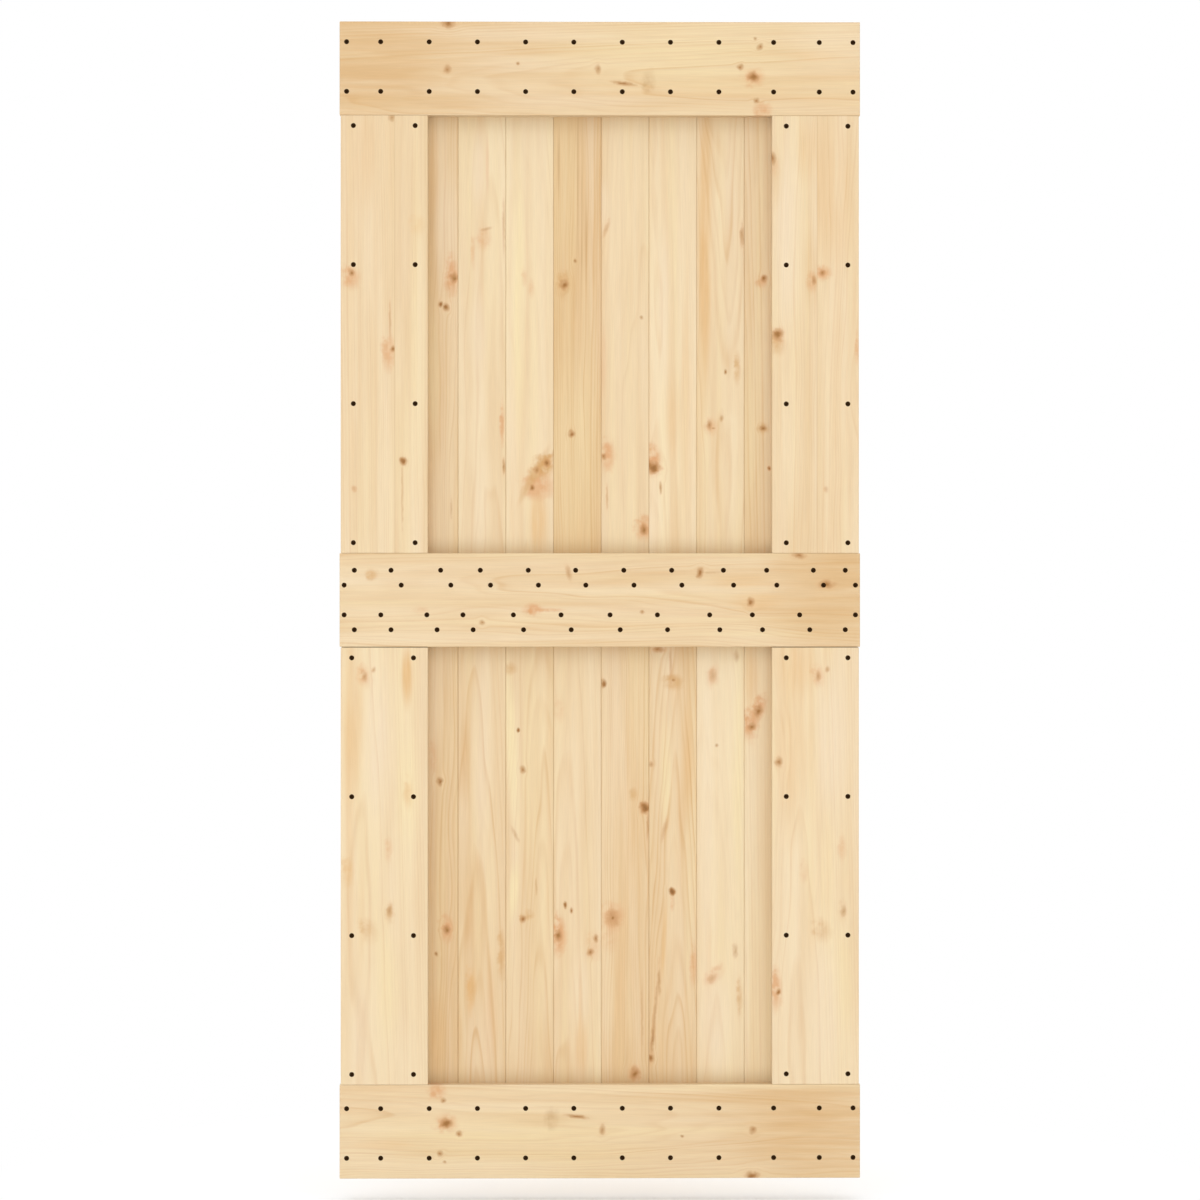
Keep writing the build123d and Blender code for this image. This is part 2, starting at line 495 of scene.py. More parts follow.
            Knot(-63, -556, 3, 0.75, 0.3, 2.2),
            Knot(-52, -566, 2.5, 0.6, 0.3, 2.0),
            Knot(-76, -611, 6.5, 0.6, 0.6, 1.5),
            Knot(-7, -617, 4.5, 0.5, 0.3, 1.5),
            Knot(-17, -643, 6, 0.5, 0.4, 1.1, -30),
        ),
        stains=(
            Stain(-75, -613, 12, 31, "blush", 1.0),
            Stain(-73, -200, 9, 20, "blush", 0.25),
            Stain(-12, -632, 14, 24, "blush", 0.3),
            Stain(-38, -740, 24, 105, "sapwood", 0.6),
            Stain(-34, -817, 10, 50, "amber", 0.6),
            Stain(-36, -735, 3, 70, "amber", 0.6),
            Stain(-34, -705, 13, 60, "bleached", 0.5),
        ),
    ),
    "lower_board_07": Cut(
        0.5, (90, 30), (0.4, 0.1), 0.85,
        knots=(
            Knot(7, -153, 5.5, 0.7, 0.2, 1.4),
            Knot(82, -379, 9, 0.8, 0.6, 1.1),
            Knot(87, -412, 2.2, 0.32, 0.3, 13.0),
            Knot(24, -579, 13, 0.3, 0.5),
            Knot(24, -580, 4.5, 0.6, 0.2),
            Knot(64, -864, 9, 0.6, 0.7, 1.2),
            Knot(77, -761, 2, 0.18, 0.2, 30.0),
        ),
        stains=(
            Stain(61, -354, 7, 11, "latewood", 0.5),
            Stain(25, -576, 19, 21, "blush", 0.45),
            Stain(30, -240, 10, 150, "bleached", 0.3),
            Stain(18, -612, 14, 26, "blush", 0.35),
            Stain(45, -860, 40, 80, "heartwood", 0.3),
        ),
    ),
    "lower_board_08": Cut(
        0.52, (5, 40), (2.0, 0.3), 0.95,
        knots=(
            Knot(106, -90, 9, 0.5, 0.4, 0.6),
            Knot(129, -115, 2.2, 0.22, 0.3, 13.0),
            Knot(134, -146, 4, 0.45, 0.3, 0.6),
            Knot(132, -532, 5.5, 0.95, 0.3),
            Knot(93, -299, 4, 0.35, 0.3),
            Knot(108, -694, 3, 0.35, 0.2, 8.0),
            Knot(100, -755, 2.6, 0.27, 0.3, 28.0, -5.5),
            Knot(93, -835, 4.5, 0.7, 0.3, 1.5),
            Knot(96, -800, 3.5, 0.45, 0.2, 8.0, -6),
            Knot(118, -418, 3.5, 0.2, 0.3, 5.0, -15),
        ),
        stains=(
            Stain(135, -150, 16, 12, "latewood", 0.7),
            Stain(132, -552, 4, 14, "blush", 0.5),
            Stain(160, -286, 9, 100, "amber", 0.5),
            Stain(120, -318, 10, 90, "straw", 0.8),
            Stain(117, -617, 4, 62, "amber", 0.7, -3),
            Stain(171, -667, 7, 32, "blush", 0.6),
            Stain(150, -860, 30, 80, "heartwood", 0.35),
        ),
    ),
    "lower_board_09": Cut(
        0.12, (-20, 75), (1.2, 0.3), 0.35,
        knots=(
            Knot(206, -138, 6, 0.2, 0.3, 1.8, -10),
            Knot(249, -102, 5, 0.25, 0.1, 2.0),
            Knot(213, -265, 3, 0.4, 0.1),
            Knot(247, -640, 5, 0.3, 0.1, 2.5),
            Knot(204, -690, 6, 0.2, 0.3, 1.6, -40),
        ),
        stains=(
            Stain(206, -138, 10, 20, "blush", 0.4, -10),
            Stain(231, -152, 18, 34, "sapwood", 0.6),
            Stain(250, -330, 10, 155, "straw", 0.6),
            Stain(208, -684, 12, 20, "blush", 0.6, -40),
            Stain(213, -772, 26, 90, "bleached", 0.8),
            Stain(255, -725, 5, 32, "latewood", 0.5),
        ),
    ),
    "lower_board_10": Cut(
        0.15, (-70, 40), (0.5, 0.2), 0.4,
        knots=(Knot(289, -202, 7, 0.58, 0.5, 1.4, -15), Knot(277, -231, 6.5, 0.55, 0.5, 1.2, -25)),
        stains=(
            Stain(290, -198, 11, 25, "blush", 0.8, -20),
            Stain(273, -226, 14, 26, "blush", 0.85),
            Stain(274, -141, 13, 55, "amber", 0.45),
        ),
    ),
    "lower_board_11": Cut(
        0.35, (20, 50), (-1.2, 0.2), knots=(Knot(392, -420, 9), Knot(370, -760, 7, 0.6))
    ),
    "lower_board_12": Cut(0.4, (60, 40)),
}


def linear(code):
    """An sRGB hex colour as linear red, green and blue."""
    parts = [int(code[place : place + 2], 16) / 255 for place in (1, 3, 5)]
    return tuple(part / 12.92 if part <= 0.04045 else ((part + 0.055) / 1.055) ** 2.4 for part in parts)


def colour_setting(name, code, description):
    """A colour that a user may change."""
    return bpy.props.FloatVectorProperty(
        name=name, description=description, subtype="COLOR", default=linear(code)
    )


def length_setting(name, size, description):
    """A length that a user may change. Its default is given in millimetres."""
    return bpy.props.FloatProperty(name=name, description=description, unit="LENGTH", default=size * MM)


class PineFinish(bpy.types.PropertyGroup):
    """Colours and grain of the planed pine."""

    sapwood: colour_setting("Sapwood", "#F3DEB9", "The palest wood")
    heartwood: colour_setting("Heartwood", "#DEB987", "The honey-coloured wood")
    amber: colour_setting("Amber", "#E4B87E", "Bands rich in resin")
    straw: colour_setting("Straw", "#F5E2B4", "Yellowish bands")
    bleached: colour_setting("Bleached", "#F2DDBD", "Pinkish white bands")
    latewood: colour_setting("Latewood", "#D3A266", "The dark line of each growth ring")
    blush: colour_setting("Blush", "#DEA675", "The reddish wood around a knot")
    knot: colour_setting("Knot", "#B27D42", "A knot's brown")
    knot_heart: colour_setting("Knot heart", "#7D5023", "A knot's dark heart")
    # painted shade: the colour that the boards' faces are painted towards close to the frame, where the
    # recess lies in soft shade
    painted_shade: colour_setting("Painted shade", "#B39A72", "The boards' dull faces close to the frame")
    ring_width: length_setting("Ring width", 4.2, "A year's growth")


class ScrewSizes(bpy.types.PropertyGroup):
    """Sizes and colour of the countersunk screw heads."""

    head_radius: length_setting("Head radius", 4.6, "Half the head's width")
    head_depth: length_setting("Head depth", 2.4, "Height of the head's cone")
    sunk: length_setting("Sunk", 0.25, "How far the head lies under the wood")
    recess_length: length_setting("Recess length", 5.0, "Across the cross recess")
    recess_width: length_setting("Recess width", 1.3, "Width of one slot of the cross")
    recess_depth: length_setting("Recess depth", 1.5, "Depth of the cross recess")
    colour: colour_setting("Colour", "#35210B", "Black phosphate coat")


class Studio(bpy.types.PropertyGroup):
    """Camera, lamp, surroundings and floor."""

    lens: bpy.props.FloatProperty(name="Lens", description="Focal length in millimetres", default=100.0)
    frame_height: length_setting("Frame height", 2179.0, "Height seen at the leaf")
    turn: bpy.props.FloatProperty(
        name="Turn", description="How far left the camera stands", subtype="ANGLE", default=radians(0.6)
    )
    sky: bpy.props.FloatProperty(name="Sky", description="Strength of the white surroundings", default=0.58)
    sides: bpy.props.FloatProperty(
        name="Sides", description="How much brighter the surroundings are to the sides", default=2.6
    )
    key: bpy.props.FloatProperty(
        name="Key", description="Power of the large front lamp in watts", default=25.0
    )
    floor_gap: length_setting("Floor gap", 40.0, "The leaf hangs this far over the floor")
    floor: colour_setting("Floor", "#F3F3F3", "White paint")


def add(tree, kind, inputs=None, out=0, **settings):
    """Adds a node with its settings, values and links. Returns one output, or the node where out is None."""
    node = tree.nodes.new(kind)
    for name, value in settings.items():
        setattr(node, name, value)
    for name, value in (inputs or {}).items():
        if isinstance(value, bpy.types.NodeSocket):
            tree.links.new(value, node.inputs[name])
        else:
            node.inputs[name].default_value = value
    return node if out is None else node.outputs[out]


def new_material(name):
    """An empty material and its tree."""
    material = bpy.data.materials.new(name)
    material.use_nodes = True
    material.node_tree.nodes.clear()
    return material, material.node_tree


class Blank:
    """A board before its finish. Its places are in millimetres across, into and along the grain."""

    def __init__(self, tree, name, cut):
        self.tree = tree
        self.glued = cut.glued
        self.lying = name in RAILS
        low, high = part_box(name)
        self.middle = (low + high) / 2
        self.given = add(tree, "ShaderNodeTexCoord", out=None).outputs
        centre = Vector((self.middle.z, self.middle.y, -self.middle.x)) if self.lying else self.middle
        self.board = add(
            tree,
            "ShaderNodeMapping",
            {
                "Vector": self.given["Object"],
                "Location": centre / -MM,
                "Rotation": (0.0, radians(90 if self.lying else 0), 0.0),
                "Scale": (1 / MM,) * 3,
            },
        )
        parts = add(tree, "ShaderNodeSeparateXYZ", {0: self.board}, out=None).outputs
        seed = Vector(BLANK_SPACING) * (sorted(CUTS).index(name) + 1)
        self.own = add(tree, "ShaderNodeVectorMath", {0: self.board, 1: seed}, operation="ADD")

        # knots and stains run from the front through the board on a slant and have ragged outlines
        half = (high.y - self.middle.y) / MM
        self.depth = add(tree, "ShaderNodeMath", {0: parts["Y"], 1: half}, operation="ADD")
        slant = add(tree, "ShaderNodeVectorMath", {0: BRANCH_SLANT, "Scale": self.depth}, operation="SCALE")
        self.branches = add(tree, "ShaderNodeVectorMath", {0: self.board, 1: slant}, operation="SUBTRACT")
        self.torn = self.patches(self.own, TEAR_SIZE, detail=2.0)[0]
        tear = add(tree, "ShaderNodeMath", {0: self.torn, 1: 0.5}, operation="SUBTRACT")
        self.ragged = add(tree, "ShaderNodeVectorMath", {0: RAGGEDNESS, "Scale": tear}, operation="SCALE")

        # strips glued edge to edge come from different logs
        self.strips = (1.0,)
        self.jump = (0.0, 0.0, 0.0)
        if cut.glued is not None:
            aside = add(tree, "ShaderNodeMath", {0: parts["X"], 1: cut.glued}, operation="SUBTRACT")
            beyond = add(tree, "ShaderNodeMath", {0: aside, 1: 0.0}, operation="GREATER_THAN")
            before = add(tree, "ShaderNodeMath", {0: 1.0, 1: beyond}, operation="SUBTRACT")
            self.strips = (before, beyond)
            self.from_glue = add(tree, "ShaderNodeMath", {0: aside}, operation="ABSOLUTE")
            self.jump = add(
                tree, "ShaderNodeVectorMath", {0: GLUE_JUMP, "Scale": beyond}, operation="SCALE"
            )
            self.own = add(tree, "ShaderNodeVectorMath", {0: self.own, 1: self.jump}, operation="ADD")

    def place_of(self, mark):
        """Where a knot or stain lies in the board: across, depth and along."""
        right = mark.right - (self.middle.x - LEAF_MIDDLE.x) / MM
        up = mark.up - (self.middle.z - LEAF_MIDDLE.z) / MM
        return Vector((up, 0.0, -right) if self.lying else (right, 0.0, up))

    def strip_of(self, mark):
        """The number of the glued strip that a knot or stain lies in."""
        return int(self.glued is not None and self.place_of(mark).x > self.glued)

    def measure(self, mark, across, along):
        """Where a point lies from a mark's middle, in half sizes of the mark and turned with it."""
        place = self.place_of(mark)
        if mark.slant == 0.0:
            scale = Vector((1 / across, 0.0, 1 / along))
            inputs = {0: self.branches, 1: scale, 2: -scale * place}
            return add(self.tree, "ShaderNodeVectorMath", inputs, operation="MULTIPLY_ADD")
        return add(
            self.tree,
            "ShaderNodeMapping",
            {
                "Vector": self.branches,
                "Location": place,
                "Rotation": (0.0, radians(-mark.slant), 0.0),
                "Scale": (across, ENDLESS, along),
            },
            vector_type="TEXTURE",
        )

    def patches(self, place, size, detail):
        """A pattern of soft patches of a size in millimetres: its strength and its three colours."""
        spread = add(self.tree, "ShaderNodeVectorMath", {0: place, 1: size}, operation="DIVIDE")
        return add(
            self.tree, "ShaderNodeTexNoise", {"Vector": spread, "Scale": 1.0, "Detail": detail}, out=None
        ).outputs

    def tint(self, wood, colour, value, start=0.0, full=1.0, share=1.0):
        """Lays a colour over the wood as a value runs from start to full, up to its share there."""
        factor = add(
            self.tree,
            "ShaderNodeMapRange",
            {"Value": value, "From Min": start, "From Max": full, "To Max": share},
        )
        return add(
            self.tree,
            "ShaderNodeMix",
            {"Factor": factor, 6: wood, 7: (*colour, 1.0)},
            data_type="RGBA",
            out=2,
        )


def grow_knots(blank, knots, grain):
    """Lays knots in a board. Returns the grain as they push it aside, their dark and their blush."""
    tree = blank.tree
    dark, blush = 0.0, 0.0
    # distances are in half sizes of the knot: it darkens inwards, and its blush and its push reach further
    for knot in knots:
        near = blank.measure(knot, knot.radius, knot.radius * knot.stretch)
        outline = add(tree, "ShaderNodeVectorMath", {0: near, 1: blank.ragged}, operation="ADD")
        distance = add(tree, "ShaderNodeVectorMath", {0: outline}, operation="LENGTH", out="Value")
        heart = add(
            tree,
            "ShaderNodeMapRange",
            {"Value": distance, "From Min": 1.3, "From Max": 0.1, "To Max": 1.1 * knot.dark},
        )
        dark = add(tree, "ShaderNodeMath", {0: dark, 1: heart}, operation="MAXIMUM")
        halo = add(
            tree,
            "ShaderNodeMapRange",
            {"Value": distance, "From Min": 1.9, "From Max": 0.5, "To Max": knot.blush},
            interpolation_type="SMOOTHSTEP",
        )
        blush = add(tree, "ShaderNodeMath", {0: blush, 1: halo}, operation="MAXIMUM")
        if knot.dark > FAINT_KNOT:
            nearness = add(
                tree,
                "ShaderNodeMapRange",
                {
                    "Value": distance,
                    "From Min": 3.5,
                    "From Max": 0.3,
                    "To Max": -GRAIN_SWERVE * knot.radius,
                },
                interpolation_type="SMOOTHSTEP",
            )
            pushed = add(tree, "ShaderNodeVectorMath", {0: near, "Scale": nearness}, operation="SCALE")
            grain = add(
                tree,
                "ShaderNodeVectorMath",
                {0: pushed, 1: (1.0, 0.0, 0.0), 2: grain},
                operation="MULTIPLY_ADD",
            )
    return grain, dark, blush


def grow_strips(blank, knots):
    """Lays knots in each strip of a board, as grow_knots does. They end at the glue line, which shows."""
    tree = blank.tree
    grain, dark, blush = blank.board, 0.0, 0.0
    for number, strip in enumerate(blank.strips):
        inside = [knot for knot in knots if blank.strip_of(knot) == number]
        grain, heart, halo = grow_knots(blank, inside, grain)
        dark, blush = (
            add(tree, "ShaderNodeMath", {0: part, 1: strip, 2: whole}, operation="MULTIPLY_ADD")
            for part, whole in ((heart, dark), (halo, blush))
        )
    grain = add(tree, "ShaderNodeVectorMath", {0: grain, 1: blank.jump}, operation="ADD")
    if blank.glued is not None:
        glue = add(
            tree,
            "ShaderNodeMapRange",
            {"Value": blank.from_glue, "From Min": 1.6, "From Max": 0.4, "To Max": 0.1},
        )
        dark = add(tree, "ShaderNodeMath", {0: dark, 1: glue}, operation="MAXIMUM")
    return grain, dark, blush


def grow_rings(blank, wandered, cut, ring_width):
    """Growth rings about the log's pith. Returns how strong the latewood is, uneven from year to year."""
    tree = blank.tree
    across, behind = cut.pith
    log = add(
        tree,
        "ShaderNodeMapping",
        {
            "Vector": wandered,
            "Location": (-PITH_SWING / 2 - across, -PITH_SWING / 2 - behind, 0.0),
            "Rotation": (radians(cut.lean[0]), radians(cut.lean[1]), 0.0),
        },
    )
    radial = add(tree, "ShaderNodeVectorMath", {0: log, 1: (1.0, 1.0, 0.0)}, operation="MULTIPLY")
    radius = add(tree, "ShaderNodeVectorMath", {0: radial}, operation="LENGTH", out="Value")
    years = add(tree, "ShaderNodeMath", {0: radius, 1: ring_width / MM}, operation="DIVIDE")
    weather = add(
        tree, "ShaderNodeTexNoise", {"W": years, "Scale": 0.3, "Detail": 1.0}, noise_dimensions="1D"
    )
    uneven = add(tree, "ShaderNodeMath", {0: weather, 1: 2.5, 2: years}, operation="MULTIPLY_ADD")
    season = add(tree, "ShaderNodeMath", {0: uneven}, operation="FRACT")
    year = add(tree, "ShaderNodeMath", {0: uneven}, operation="FLOOR")
    chance = add(tree, "ShaderNodeTexWhiteNoise", {"W": year}, noise_dimensions="1D", out="Value")
    harvest = add(tree, "ShaderNodeMapRange", {"Value": chance, "To Min": 0.15, "To Max": 1.0})
    late = add(tree, "ShaderNodeValToRGB", {"Fac": season}, out=None)
    late.color_ramp.interpolation = "B_SPLINE"
    for place, level in LATEWOOD_RISE:
        late.color_ramp.elements.new(place).color = (level, level, level, 1.0)
    late.color_ramp.elements[-1].color = (0.0, 0.0, 0.0, 1.0)
    return add(tree, "ShaderNodeMath", {0: late.outputs["Color"], 1: harvest}, operation="MULTIPLY")


def tone_bands(blank, tone, finish):
    """Sapwood to heartwood in broad bands, with amber, bleached and yellowish ones between."""
    tree = blank.tree
    band = blank.patches(blank.own, BAND_SIZE, detail=2.0)["Color"]
    bands = add(tree, "ShaderNodeSeparateXYZ", {0: band}, out=None).outputs
    level = add(
        tree,
        "ShaderNodeMapRange",
        {
            "Value": bands["X"],
            "From Min": 0.3,
            "From Max": 0.7,
            "To Min": tone - TONE_SPREAD,
            "To Max": tone + TONE_SPREAD,
        },
    )
    wood = add(
        tree,
        "ShaderNodeMix",
        {"Factor": level, 6: (*finish.sapwood, 1.0), 7: (*finish.heartwood, 1.0)},
        data_type="RGBA",
        out=2,
    )
    wood = blank.tint(wood, finish.amber, bands["Y"], start=0.54, full=0.72, share=0.3)
    wood = blank.tint(wood, finish.bleached, bands["Z"], start=0.52, full=0.68, share=0.4)
    return blank.tint(wood, finish.straw, bands["Z"], start=0.48, full=0.34, share=0.3)


def lay_stains(blank, wood, stains, patchy, finish):
    """Lays the patches and bands that a piece shows over its wood. Short ones are ragged as knots are."""
    tree = blank.tree
    blotchy = add(
        tree,
        "ShaderNodeMapRange",
        {"Value": blank.torn, "From Min": 0.35, "From Max": 0.6, "To Min": 0.55, "To Max": 1.1},
    )
    for stain in stains:
        near = blank.measure(stain, stain.half_width, stain.half_length)
        broken = patchy
        if stain.half_length < SHORT_STAIN:
            near = add(tree, "ShaderNodeVectorMath", {0: near, 1: blank.ragged}, operation="ADD")
            broken = blotchy
        distance = add(tree, "ShaderNodeVectorMath", {0: near}, operation="LENGTH", out="Value")
        share = add(
            tree,
            "ShaderNodeMapRange",
            {"Value": distance, "From Min": 1.6, "From Max": 0.3, "To Max": stain.share},
            interpolation_type="SMOOTHSTEP",
        )
        for limit in (broken, blank.strips[blank.strip_of(stain)]):
            share = add(tree, "ShaderNodeMath", {0: share, 1: limit}, operation="MULTIPLY")
        tint = (*getattr(finish, stain.tint), 1.0)
        wood = add(tree, "ShaderNodeMix", {"Factor": share, 6: wood, 7: tint}, data_type="RGBA", out=2)
    return wood


def field_opening(board):
    """Lowest and highest corner of the opening that the frame leaves in front of a board's field."""
    level = board.split("_")[0]
    head, foot = ("top_rail", "middle_rail") if level == "upper" else ("middle_rail", "bottom_rail")
    left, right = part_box(f"{level}_left_stile")[1].x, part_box(f"{level}_right_stile")[0].x
    return Vector((left, 0.0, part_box(foot)[1].z)), Vector((right, 0.0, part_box(head)[0].z))


def paint_frame_shade(blank, name, wood, finish):
    """Paints a board's face darker close to the frame: painted shade, which deepens the soft shade there."""
    tree = blank.tree
    corner, opposite = field_opening(name)
    opening = (corner + opposite) / 2 - blank.middle
    opening.y = 0.0
    half = (opposite - corner) / (2 * MM)
    aside = add(tree, "ShaderNodeVectorMath", {0: blank.board, 1: opening / MM}, operation="SUBTRACT")
    apart = add(tree, "ShaderNodeVectorMath", {0: aside}, operation="ABSOLUTE")
    close = add(
        tree,
        "ShaderNodeMapRange",
        {"Vector": apart, 7: half - Vector(PAINTED_SHADE_REACH), 8: half, 10: PAINTED_SHADE_SHARE},
        data_type="FLOAT_VECTOR",
        interpolation_type="SMOOTHSTEP",
        out="Vector",
    )
    both = add(
        tree, "ShaderNodeVectorMath", {0: close, 1: (1.0, 0.0, 1.0)}, operation="DOT_PRODUCT", out="Value"
    )
    front = add(tree, "ShaderNodeMath", {0: blank.depth, 1: PAINTED_SHADE_DEPTH}, operation="LESS_THAN")
    share = add(tree, "ShaderNodeMath", {0: both, 1: front}, operation="MULTIPLY")
    return add(
        tree,
        "ShaderNodeMix",
        {"Factor": share, 6: wood, 7: (*finish.painted_shade, 1.0)},
        data_type="RGBA",
        out=2,
    )


def darken_ends_and_shade_edges(blank, name):
    """Sawn ends drink in more light than planed faces. Milled edges get painted shade, in the grooves between
    the boards and along the frame, and the frame's inner edges get more of it, as inside the recess.
    """
    tree = blank.tree
    normal = blank.given["Normal"]
    facing = add(tree, "ShaderNodeSeparateXYZ", {0: normal}, out=None).outputs
    # a face that looks straight along an axis has 1 there
    sawn = add(tree, "ShaderNodeMath", {0: facing["X" if blank.lying else "Z"]}, operation="ABSOLUTE")
    end_grain = add(
        tree,
        "ShaderNodeMapRange",
        {"Value": sawn, "From Min": 0.6, "From Max": 0.9, "To Min": 1.0, "To Max": END_GRAIN_LIGHT},
    )
    flat = add(tree, "ShaderNodeMath", {0: facing["Y"]}, operation="ABSOLUTE")
    in_frame = name in FRAME_PIECES
    # painted shade on every face that looks sideways: the grooves between the boards and the frame's edges
    milled = add(
        tree,
        "ShaderNodeMapRange",
        {
            "Value": flat,
            "From Min": 0.75,
            "From Max": 0.95,
            "To Min": FRAME_EDGE_SHADE_LEVEL if in_frame else BOARD_EDGE_SHADE_LEVEL,
        },
    )
    light = add(tree, "ShaderNodeMath", {0: end_grain, 1: milled}, operation="MULTIPLY")
    if not in_frame:
        return light
    # painted shade on the frame's inner edges, which face into the recess
    if name == "middle_rail":
        inwards = add(tree, "ShaderNodeMath", {0: facing["Z"]}, operation="ABSOLUTE")
    else:
        away = blank.middle - LEAF_MIDDLE
        inner = Vector((0.0, 0.0, -away.z)) if blank.lying else Vector((-away.x, 0.0, 0.0))
        inwards = add(
            tree,
            "ShaderNodeVectorMath",
            {0: normal, 1: inner.normalized()},
            operation="DOT_PRODUCT",
            out="Value",
        )
    inner_edge_shade = add(
        tree,
        "ShaderNodeMapRange",
        {"Value": inwards, "From Min": 0.8, "From Max": 0.9, "To Min": 1.0, "To Max": INNER_EDGE_SHADE_LEVEL},
    )
    return add(tree, "ShaderNodeMath", {0: light, 1: inner_edge_shade}, operation="MULTIPLY")


def make_planed_pine(name, cut, finish):
    """Planed, untreated pine: pale and matt, with soft ring lines, fine fibres and knots in a red blush."""
    material, tree = new_material(f"planed_pine_{name}")
    blank = Blank(tree, name, cut)
    grain, dark, blush = grow_strips(blank, cut.knots)
    wander = blank.patches(blank.own, WANDER_SIZE, detail=2.0)[0]
    swing = add(
        tree, "ShaderNodeVectorMath", {0: (PITH_SWING, PITH_SWING, 0.0), "Scale": wander}, operation="SCALE"
    )
    wandered = add(tree, "ShaderNodeVectorMath", {0: swing, 1: grain}, operation="ADD")
    ring = grow_rings(blank, wandered, cut, finish.ring_width)
    streak = blank.patches(wandered, STREAK_SIZE, detail=4.0)[0]
    fibre = blank.patches(blank.own, FIBRE_SIZE, detail=1.0)[0]
    patchy = add(
        tree, "ShaderNodeMapRange", {"Value": streak, "From Min": 0.32, "From Max": 0.58, "To Min": 0.55}
    )

    wood = tone_bands(blank, cut.tone, finish)
    wood = lay_stains(blank, wood, cut.stains, patchy, finish)
    # painted shade on the boards' faces close to the frame
    if name not in FRAME_PIECES:
        wood = paint_frame_shade(blank, name, wood, finish)

    # latewood lines come and go along the board, between streaks of their own colour and pale ones
    visible = add(
        tree,
        "ShaderNodeMapRange",
        {
            "Value": streak,
            "From Min": 0.35,
            "From Max": 0.7,
            "To Min": 0.4 * cut.grain,
            "To Max": cut.grain,
        },
    )
    strength = add(tree, "ShaderNodeMath", {0: ring, 1: visible}, operation="MULTIPLY")
    dull = add(
        tree,
        "ShaderNodeMapRange",
        {"Value": streak, "From Min": 0.48, "From Max": 0.78, "To Max": 0.02 + 0.2 * cut.grain},
    )
    lined = add(tree, "ShaderNodeMath", {0: strength, 1: dull}, operation="MAXIMUM")
    wood = blank.tint(wood, finish.latewood, lined)
    wood = blank.tint(wood, finish.sapwood, streak, start=0.42, full=0.22, share=0.12)
    fine = add(
        tree,
        "ShaderNodeMapRange",
        {"Value": fibre, "From Min": 0.3, "From Max": 0.7, "To Min": 0.97, "To Max": 1.03},
    )
    wood = add(tree, "ShaderNodeVectorMath", {0: wood, "Scale": fine}, operation="SCALE")

    # a knot is brown with a dark heart, and blotched with red around
    blotched = add(tree, "ShaderNodeMath", {0: blush, 1: patchy}, operation="MULTIPLY")
    wood = blank.tint(wood, finish.blush, blotched)
    wood = blank.tint(wood, finish.knot, dark, start=0.0, full=0.6, share=0.95)
    wood = blank.tint(wood, finish.knot_heart, dark, start=0.4, full=1.0, share=0.75)

    # the sawn ends' real darkening together with the edges' painted shade
    light = darken_ends_and_shade_edges(blank, name)
    wood = add(tree, "ShaderNodeVectorMath", {0: wood, "Scale": light}, operation="SCALE")
    rough = add(tree, "ShaderNodeMapRange", {"Value": strength, "To Min": 0.62, "To Max": 0.5})
    bump = add(tree, "ShaderNodeBump", {"Height": fibre, "Strength": 0.3, "Distance": FIBRE_RELIEF * MM})
    surface = add(
        tree,
        "ShaderNodeBsdfPrincipled",
        {"Base Color": wood, "Roughness": rough, "Normal": bump, "IOR": 1.5, "Specular IOR Level": 0.35},
    )
    add(tree, "ShaderNodeOutputMaterial", {"Surface": surface}, out=None)
    return material


def make_black_phosphate(colour):
    """Black phosphate on steel: near black and satin, with a fine crystalline mottle."""
    material, tree = new_material("black_phosphate_steel")
    place = add(tree, "ShaderNodeTexCoord", out="Object")
    crystals = add(
        tree, "ShaderNodeTexNoise", {"Vector": place, "Scale": 1 / (CRYSTAL_SIZE * MM), "Detail": 2.0}
    )
    shade = add(tree, "ShaderNodeMapRange", {"Value": crystals, "To Min": 0.6, "To Max": 1.4})
    mottled = add(tree, "ShaderNodeVectorMath", {0: colour, "Scale": shade}, operation="SCALE")
    rough = add(tree, "ShaderNodeMapRange", {"Value": crystals, "To Min": 0.45, "To Max": 0.65})
    surface = add(
        tree,
        "ShaderNodeBsdfPrincipled",
        {"Base Color": mottled, "Roughness": rough, "Specular IOR Level": 0.06},
    )
    add(tree, "ShaderNodeOutputMaterial", {"Surface": surface}, out=None)
    return material


def dress(nodes, finish):
    """Gives each named solid its own pine."""
    for name in nodes:
        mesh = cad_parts[name].data
        mesh.materials.clear()
        mesh.materials.append(make_planed_pine(name, CUTS[name], finish))


class LEAF_OT_finish_boards(bpy.types.Operator):
    """Gives the tongue-and-groove boards their planed pine."""

    bl_idname = "leaf.finish_boards"
    bl_label = "Finish the boards"

    def execute(self, context):
        dress([name for name in CUTS if name not in FRAME_PIECES], context.scene.leaf_pine)
        return {"FINISHED"}


class LEAF_OT_finish_frame(bpy.types.Operator):
    """Gives the rails and stiles their planed pine."""

    bl_idname = "leaf.finish_frame"
    bl_label = "Finish the frame"

    def execute(self, context):
        dress(FRAME_PIECES, context.scene.leaf_pine)
        return {"FINISHED"}


def screw_seats():
    """The middle of each countersunk seat, found from the seats' floors in the frame's solids."""
    seats = []
    least, most = SEAT_FLOORS
    for name in FRAME_PIECES:
        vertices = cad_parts[name].data.vertices
        corners = {tuple(round(part, 6) for part in vertex.co) for vertex in vertices}
        rings = []
        for corner in sorted(corner for corner in corners if least * MM < corner[1] < most * MM):
            for ring in rings:
                if (Vector(ring[0]) - Vector(corner)).length < SEAT_REACH * MM:
                    ring.append(corner)
                    break
            else:
                rings.append([corner])
        for ring in rings:
            middle = sum((Vector(corner) for corner in ring), Vector()) / len(ring)
            seats.append(Vector((middle.x, 0.0, middle.z)))
    return seats


